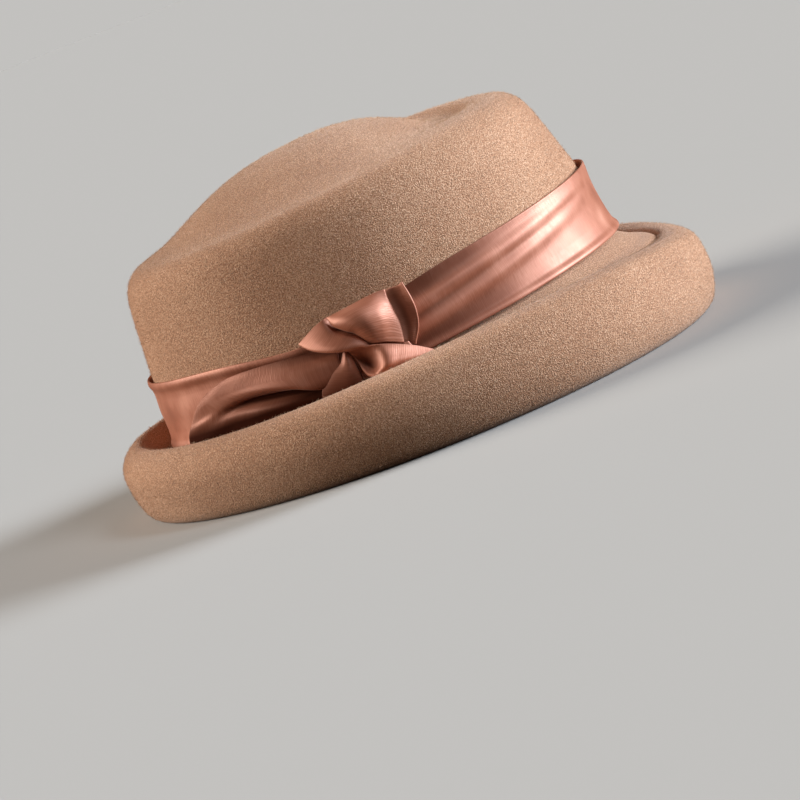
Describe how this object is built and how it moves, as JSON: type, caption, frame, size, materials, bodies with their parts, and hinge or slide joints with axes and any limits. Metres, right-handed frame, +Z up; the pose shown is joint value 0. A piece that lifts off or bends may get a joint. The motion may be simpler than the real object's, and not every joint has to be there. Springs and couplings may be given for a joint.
{
  "type": "felt hat",
  "caption": "Camel wool felt hat with a domed crown dented behind its front, an upturned rolled brim and a copper satin band tied in a side knot.",
  "frame": {"origin": "centre of the brim's oval, on the surface that the roll rests on", "axes": "+Z up, -Y towards the front of the hat, -X towards the wearer's right, where the knot is"},
  "size_m": [0.2288, 0.2608, 0.1248],
  "materials": {
    "felt": "matte wool felt",
    "satin": "satin",
    "ribbon": "ribbed ribbon",
    "wire": "plain"
  },
  "bodies": {
    "root": {"crown": "felt", "brim": "felt", "brim_wire": "wire", "wire_joiner": "wire", "sweatband": "ribbon", "satin_band": "satin", "knot_core": "satin", "knot_left_tail": "satin", "knot_left_lobe": "satin", "knot_upper_loop": "satin", "knot_upper_end": "satin", "knot_lower_leaf": "satin", "knot_lower_petal": "satin"}
  },
  "joints": []
}
